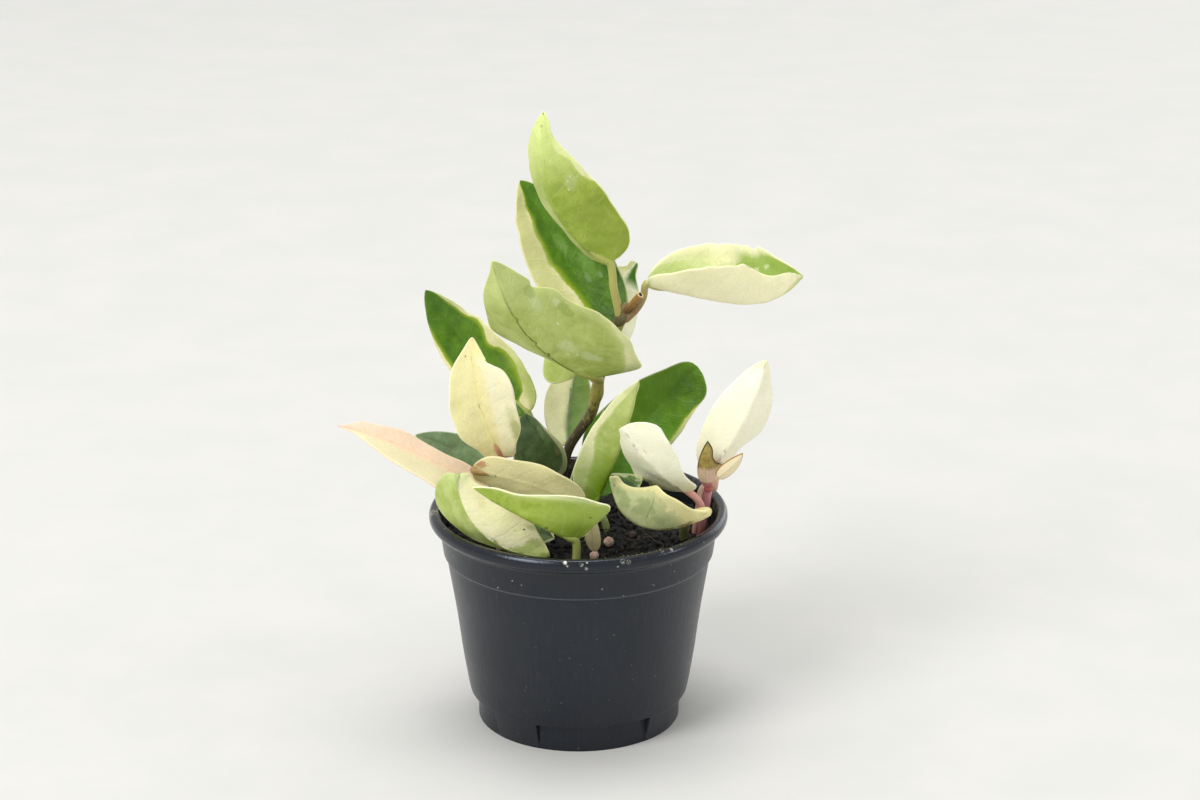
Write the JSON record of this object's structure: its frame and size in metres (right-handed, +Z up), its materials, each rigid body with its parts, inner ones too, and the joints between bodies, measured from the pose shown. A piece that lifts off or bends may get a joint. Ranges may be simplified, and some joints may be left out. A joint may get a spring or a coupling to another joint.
{
  "type": "potted hoya plant",
  "caption": "Variegated hoya with thick waxy green and cream leaves on short vines, standing in soil in a round black plastic nursery pot.",
  "frame": {"origin": "middle of the pot's flat underside, where it rests", "axes": "+Z up from the resting face, -Y towards the plant's front as pictured, +X to the right"},
  "size_m": [0.1611, 0.105, 0.2216],
  "materials": {
    "pot_plastic": "satin charcoal moulded plastic with dust and scuffs",
    "soil": "dark crumbly potting soil with brown fibres",
    "woody_stem": "olive bark that turns brown with age",
    "green_stem": "smooth olive green stem",
    "pink_stem": "smooth pink young stem",
    "dry_bract": "dry brown papery bract",
    "pebble": "pinkish rough pebble",
    "leaf_green": "waxy pale green leaf with cream margins",
    "leaf_dark": "glossy dark green leaf with cream margins",
    "leaf_cream": "waxy ivory leaf",
    "leaf_pink": "waxy pink flushed ivory leaf"
  },
  "bodies": {
    "root": {"pot": "pot_plastic", "soil": "soil", "vine": "woody_stem", "left_shoot": "green_stem", "back_shoot": "green_stem", "right_shoot": "pink_stem", "bract": "dry_bract", "pebble_back": "pebble", "pebble_front": "pebble", "leaf_top": "leaf_green", "leaf_top_behind": "leaf_dark", "leaf_front": "leaf_green", "leaf_back": "leaf_green", "leaf_right_high": "leaf_cream", "leaf_left_back": "leaf_dark", "leaf_pale": "leaf_cream", "leaf_pink": "leaf_pink", "leaf_front_left": "leaf_green", "leaf_front_centre": "leaf_green", "leaf_tan": "leaf_cream", "leaf_centre": "leaf_green", "leaf_right_back": "leaf_dark", "leaf_ivory": "leaf_cream", "leaf_boat": "leaf_green", "leaf_white": "leaf_cream", "leaf_small": "leaf_cream", "leaf_dark_left": "leaf_dark", "leaf_dark_centre": "leaf_dark", "leaf_hanging": "leaf_green", "leaf_narrow": "leaf_green", "leaf_low_pale": "leaf_cream", "leaf_low_dark": "leaf_dark"}
  },
  "joints": []
}
